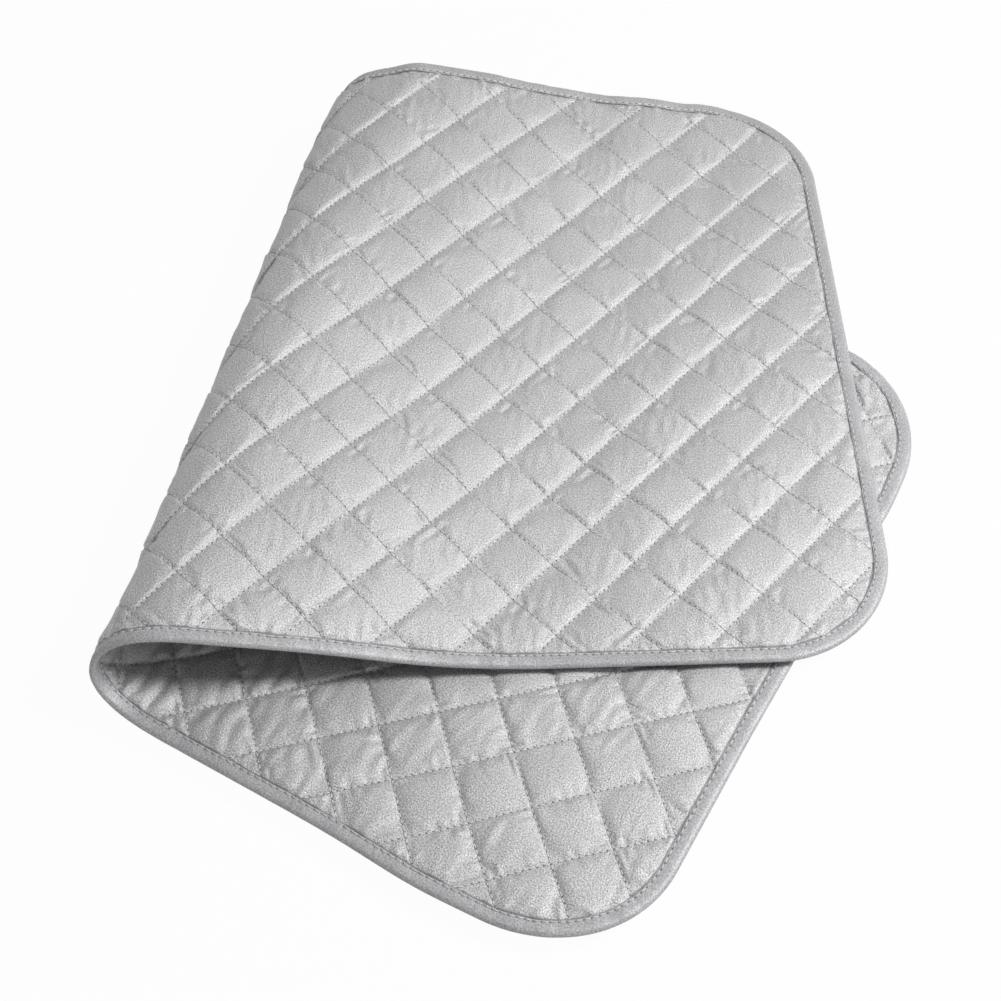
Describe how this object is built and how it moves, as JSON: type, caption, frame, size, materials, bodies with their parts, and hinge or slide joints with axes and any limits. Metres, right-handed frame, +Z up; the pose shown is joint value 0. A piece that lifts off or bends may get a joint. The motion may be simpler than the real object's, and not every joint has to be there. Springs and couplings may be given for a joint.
{
  "type": "ironing pad",
  "caption": "Diamond-quilted ironing mat with a bound edge and rounded corners, folded askew once across its middle; the upper leaf turns over until the mat lies open and flat.",
  "frame": {"origin": "on the table, under the middle of the folded mat's box", "axes": "+Z up from the table, +Y along the fold from the near end to the far end, +X away from the fold"},
  "size_m": [0.4344, 0.6582, 0.0646],
  "materials": {
    "silver_cloth": "silver-coated woven cloth, satin sheen, quilted",
    "binding_tape": "silver-grey folded tape, matt satin",
    "wadding": "white fibre wadding"
  },
  "bodies": {
    "lower_leaf": {"outer_cover_lower": "silver_cloth", "wadding_lower": "wadding", "inner_cover_lower": "silver_cloth", "binding_lower": "binding_tape"},
    "bight_1": {"outer_cover_bight_1": "silver_cloth", "wadding_bight_1": "wadding", "inner_cover_bight_1": "silver_cloth", "near_binding_bight_1": "binding_tape", "far_binding_bight_1": "binding_tape"},
    "bight_2": {"outer_cover_bight_2": "silver_cloth", "wadding_bight_2": "wadding", "inner_cover_bight_2": "silver_cloth", "near_binding_bight_2": "binding_tape", "far_binding_bight_2": "binding_tape"},
    "bight_3": {"outer_cover_bight_3": "silver_cloth", "wadding_bight_3": "wadding", "inner_cover_bight_3": "silver_cloth", "near_binding_bight_3": "binding_tape", "far_binding_bight_3": "binding_tape"},
    "bight_4": {"outer_cover_bight_4": "silver_cloth", "wadding_bight_4": "wadding", "inner_cover_bight_4": "silver_cloth", "near_binding_bight_4": "binding_tape", "far_binding_bight_4": "binding_tape"},
    "slope": {"outer_cover_slope": "silver_cloth", "wadding_slope": "wadding", "inner_cover_slope": "silver_cloth", "near_binding_slope": "binding_tape", "far_binding_slope": "binding_tape"},
    "upper_leaf": {"outer_cover_upper": "silver_cloth", "wadding_upper": "wadding", "inner_cover_upper": "silver_cloth", "binding_upper": "binding_tape"}
  },
  "joints": [
    {"name": "fold_1", "type": "hinge", "parent": "lower_leaf", "child": "bight_1", "pos_m": [-0.19538, 0, 0], "axis": [0, -1, 0], "range_deg": [0, 39.08]},
    {"name": "fold_2", "type": "hinge", "parent": "bight_1", "child": "bight_2", "pos_m": [-0.21269, 0, 0.01406], "axis": [0, -1, 0], "range_deg": [0, 39.08]},
    {"name": "fold_3", "type": "hinge", "parent": "bight_2", "child": "bight_3", "pos_m": [-0.21727, 0, 0.03588], "axis": [0, -1, 0], "range_deg": [0, 39.08]},
    {"name": "fold_4", "type": "hinge", "parent": "bight_3", "child": "bight_4", "pos_m": [-0.20706, 0, 0.05571], "axis": [0, -1, 0], "range_deg": [0, 39.08]},
    {"name": "fold_5", "type": "hinge", "parent": "bight_4", "child": "slope", "pos_m": [-0.18664, 0, 0.06467], "axis": [0, -1, 0], "range_deg": [0, 39.08]},
    {"name": "dip", "type": "hinge", "parent": "slope", "child": "upper_leaf", "pos_m": [-0.01321, 0, 0.0086], "axis": [0, 1, 0], "range_deg": [0, 15.4]}
  ],
  "couplings": [
    {"joint": "dip", "follows": "fold_5", "ratio": 0.39406}
  ]
}
